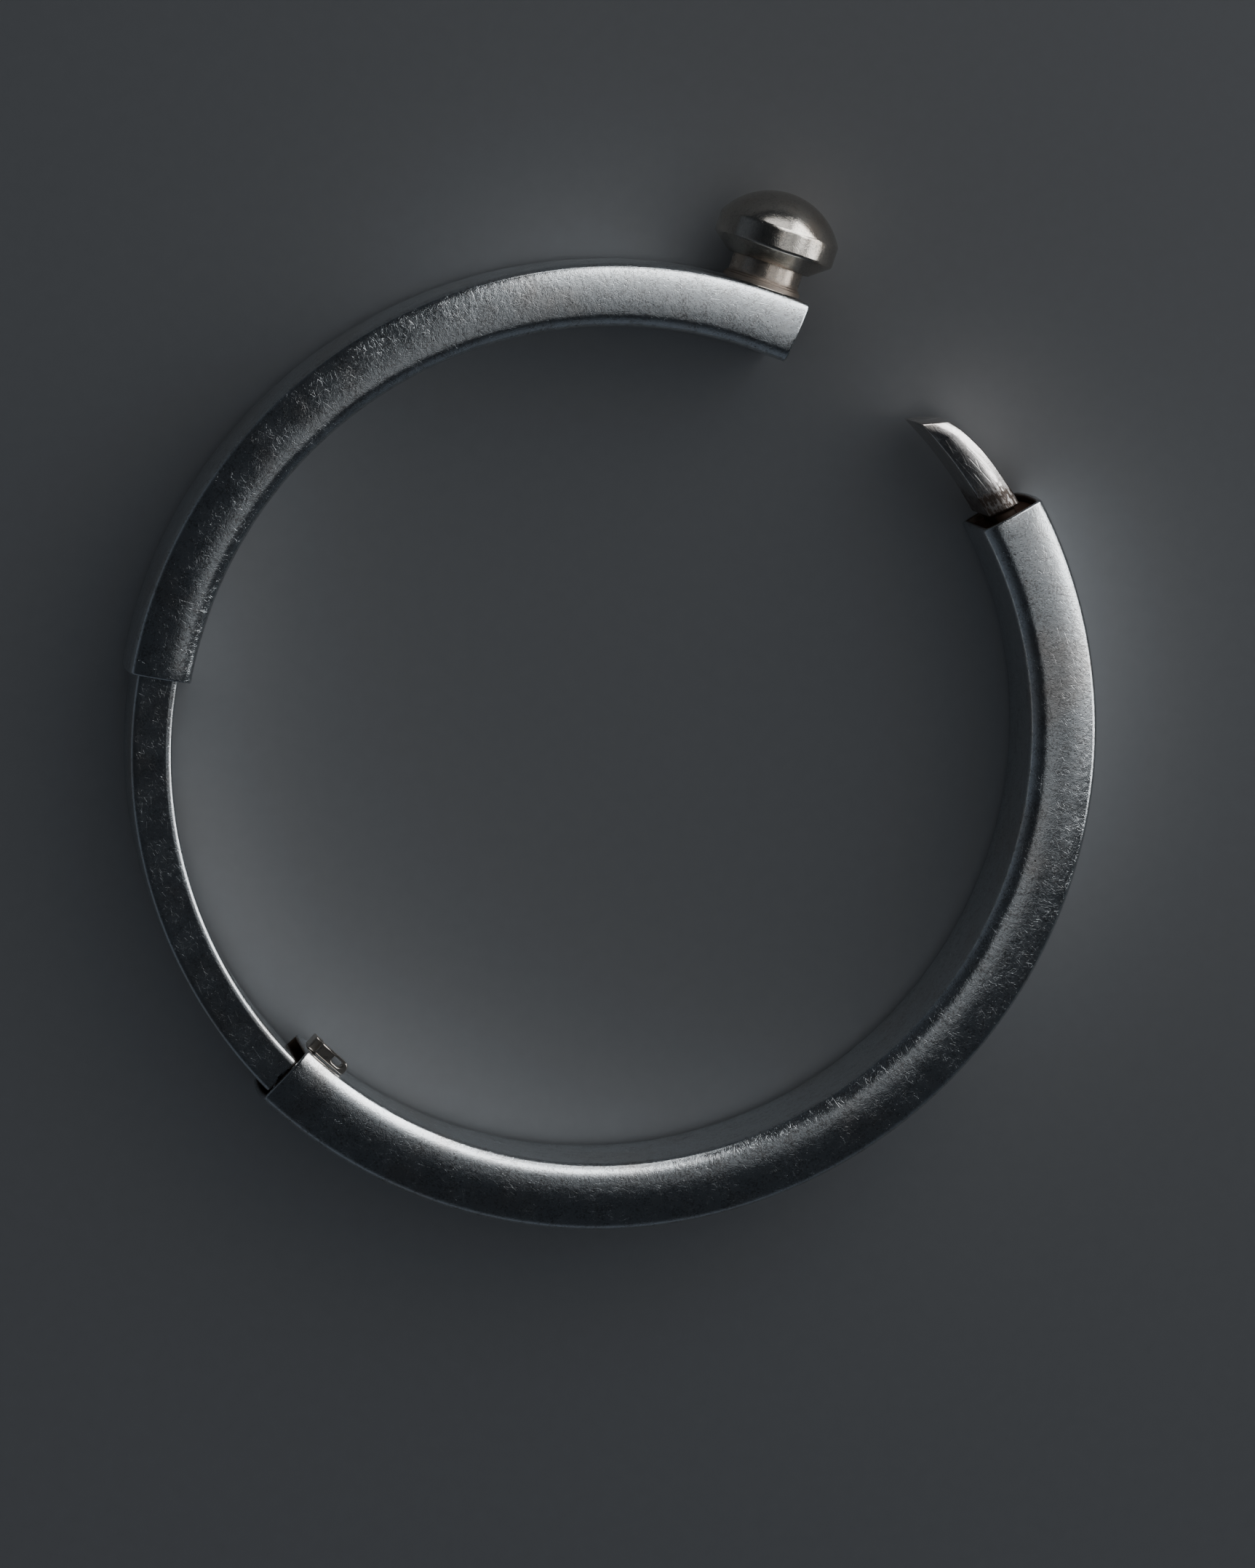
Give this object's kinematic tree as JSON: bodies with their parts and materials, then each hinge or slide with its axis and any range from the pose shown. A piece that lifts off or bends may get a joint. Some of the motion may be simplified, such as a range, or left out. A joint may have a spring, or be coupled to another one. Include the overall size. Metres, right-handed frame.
{
  "type": "hinged bangle",
  "caption": "Open silver bangle: hollow arc with a tongue, a hinged thin bar and a hollow sleeve that slides on it, with a domed push button.",
  "frame": {"origin": "centre of the main tube's arc, level with the lower edge that the bangle rests on", "axes": "+Z along the wrist, up when the bangle lies on its side; +Y towards the push button's side; +X towards the middle of the main tube"},
  "size_m": [0.0674, 0.0719, 0.009],
  "materials": {
    "silver": "satin-worn sterling silver with fine hairline scratches",
    "worn_silver": "filed and tarnished sterling silver"
  },
  "bodies": {
    "tube": {"tube": "silver", "tongue": "worn_silver", "hinge_pin": "worn_silver", "safety_eye": "worn_silver"},
    "arm": {"bar": "silver"},
    "slider": {"sleeve": "silver"},
    "button": {"knob": "silver"}
  },
  "joints": [
    {"name": "arm_hinge", "type": "hinge", "parent": "tube", "child": "arm", "pos_m": [-0.02156, -0.02395, 0], "axis": [0, 0, 1], "range_deg": [0, 8]},
    {"name": "sleeve_slide", "type": "hinge", "parent": "arm", "child": "slider", "pos_m": [0.00035, -0.0011, 0], "axis": [0, 0, 1], "range_deg": [-35.5, 53]},
    {"name": "button_press", "type": "slide", "parent": "slider", "child": "button", "axis": [0.3148, 0.9492, 0], "range_m": [-0.0012, 0], "stiffness_N_per_m": 400, "springref_m": 0.0004}
  ]
}
